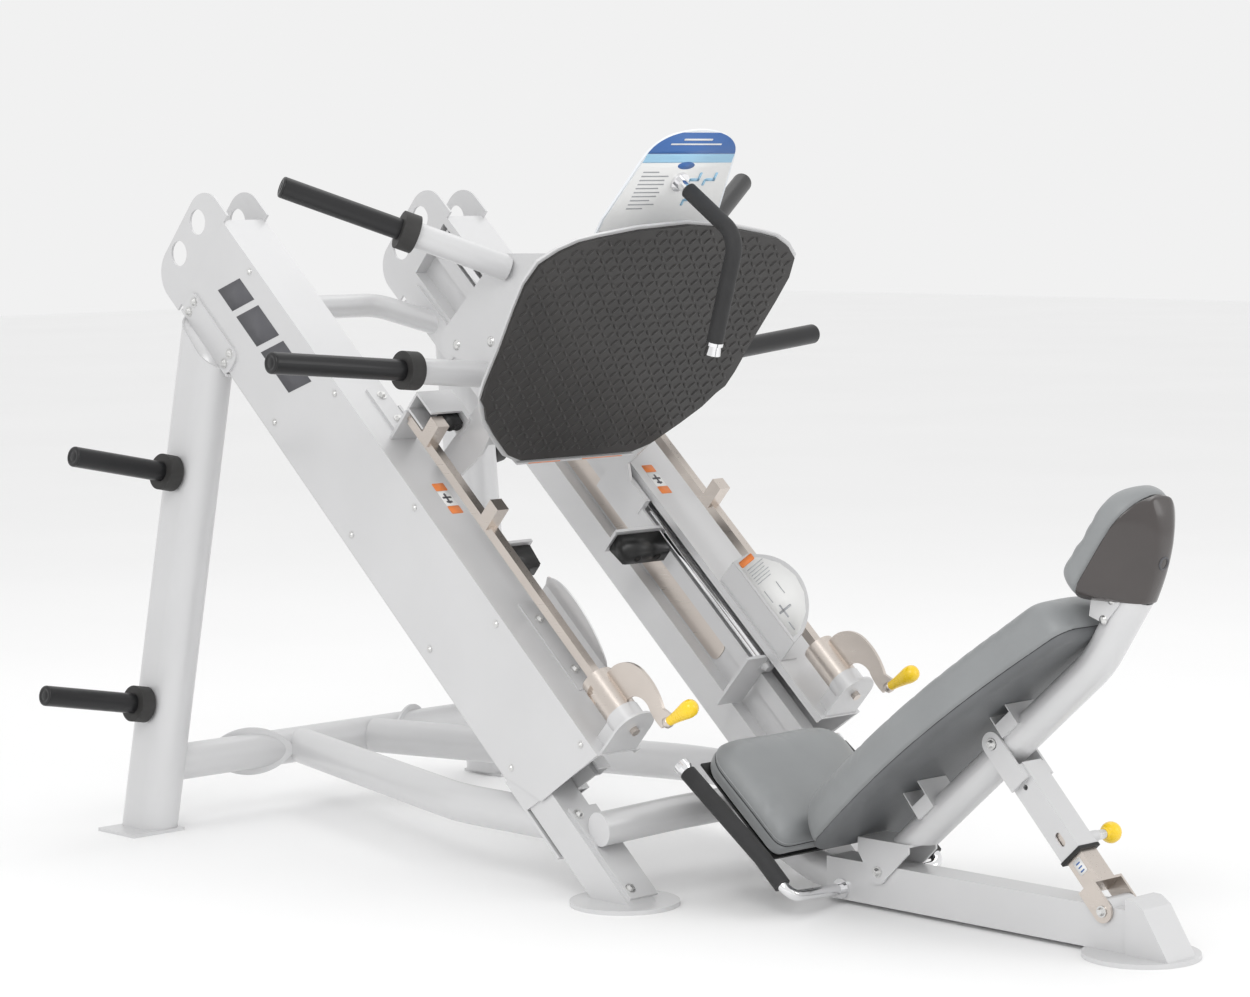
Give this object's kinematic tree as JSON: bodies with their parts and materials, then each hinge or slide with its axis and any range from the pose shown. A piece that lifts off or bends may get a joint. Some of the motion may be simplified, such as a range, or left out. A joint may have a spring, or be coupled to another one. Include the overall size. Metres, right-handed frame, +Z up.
{
  "type": "leg press machine",
  "caption": "Angled plate-loaded leg press with a sliding foot-plate carriage, turning safety bars, weight horns and a reclining padded back.",
  "frame": {"origin": "on the floor under the middle of the machine", "axes": "+X from the head of the rails towards the seat end, +Y to the user's right, +Z up"},
  "size_m": [2.8375, 1.7462, 1.6881],
  "materials": {
    "frame_paint": "satin silver-white powder coat",
    "placard_face": "satin printed plate",
    "nickel": "warm nickel plate",
    "zinc": "zinc plate",
    "chrome": "polished",
    "sleeve_black": "satin black sleeve",
    "collar_rubber": "matte moulded rubber",
    "grip_foam": "matte foam grip",
    "upholstery": "grey vinyl upholstery",
    "board_black": "black board",
    "head_gloss": "glossy dark moulding",
    "mat_rubber": "charcoal tread rubber",
    "bumper_rubber": "black rubber buffer",
    "knob_yellow": "yellow knob"
  },
  "bodies": {
    "frame": {"left_rail": "frame_paint", "right_rail": "frame_paint", "rail_covers": "frame_paint", "head_plates": "frame_paint", "rod_mounts": "frame_paint", "left_front_leg": "frame_paint", "right_front_leg": "frame_paint", "left_upright": "frame_paint", "right_upright": "frame_paint", "base_cross_tube": "frame_paint", "base_side_tubes": "frame_paint", "arch_tube": "frame_paint", "front_tube": "frame_paint", "spine": "frame_paint", "bar_mounts": "frame_paint", "bar_guards": "frame_paint", "wear_strips": "nickel", "cover_screws": "zinc", "frame_bolts": "zinc", "back_pivot_bolt": "zinc", "prop_pivot_bolt": "zinc", "guide_rods": "chrome", "left_seat_handle": "chrome", "right_seat_handle": "chrome", "storage_sleeves": "sleeve_black", "storage_collars": "collar_rubber", "seat_grips": "grip_foam", "seat_pad": "upholstery", "seat_base": "board_black"},
    "carriage": {"carriage_frame": "frame_paint", "bearing_blocks": "frame_paint", "foot_plate": "frame_paint", "foot_mat": "mat_rubber", "heel_lip": "frame_paint", "placard": "placard_face", "centre_handle": "chrome", "centre_grip": "grip_foam", "weight_collars": "collar_rubber", "weight_sleeves": "sleeve_black", "upper_bumpers": "bumper_rubber", "lower_bumpers": "bumper_rubber"},
    "left_bar": {"left_safety_bar": "nickel", "left_safety_hub": "nickel", "left_safety_knob": "knob_yellow"},
    "right_bar": {"right_safety_bar": "nickel", "right_safety_hub": "nickel", "right_safety_knob": "knob_yellow"},
    "backrest": {"back_frame": "frame_paint", "back_board": "board_black", "back_pad": "upholstery", "head_bracket": "frame_paint", "head_pad": "upholstery", "head_shell": "head_gloss", "prop_top_bolt": "zinc"},
    "prop_lower": {"prop_inner": "nickel"},
    "prop_upper": {"prop_outer": "frame_paint", "prop_liner": "board_black"},
    "pin": {"pull_pin": "zinc", "pin_knob": "knob_yellow"}
  },
  "joints": [
    {"name": "carriage_slide", "type": "slide", "parent": "frame", "child": "carriage", "axis": [-0.749, 0, 0.6626], "range_m": [0, 0.6]},
    {"name": "left_bar_turn", "type": "hinge", "parent": "frame", "child": "left_bar", "pos_m": [-0.5541, -0.355, 1.04029], "axis": [0.749, 0, -0.6626], "range_deg": [0, 90]},
    {"name": "right_bar_turn", "type": "hinge", "parent": "frame", "child": "right_bar", "pos_m": [-0.5541, 0.355, 1.04029], "axis": [-0.749, 0, 0.6626], "range_deg": [0, 90]},
    {"name": "back_recline", "type": "hinge", "parent": "frame", "child": "backrest", "pos_m": [0.6213, 0, 0.086], "axis": [0, 1, 0], "range_deg": [0, 8.68]},
    {"name": "prop_swing", "type": "hinge", "parent": "frame", "child": "prop_lower", "pos_m": [1.2333, 0, 0.09], "axis": [0, 1, 0], "range_deg": [-1, 1]},
    {"name": "prop_telescope", "type": "slide", "parent": "prop_lower", "child": "prop_upper", "axis": [-0.6881, 0, 0.7256], "range_m": [-0.069, 0]},
    {"name": "pin_pull", "type": "slide", "parent": "prop_upper", "child": "pin", "axis": [0, 1, 0], "range_m": [0, 0.008], "stiffness_N_per_m": 900}
  ],
  "couplings": [
    {"joint": "prop_swing", "follows": "back_recline", "ratio": -0.08563},
    {"joint": "prop_telescope", "follows": "back_recline", "m_per_rad": -0.4451}
  ]
}
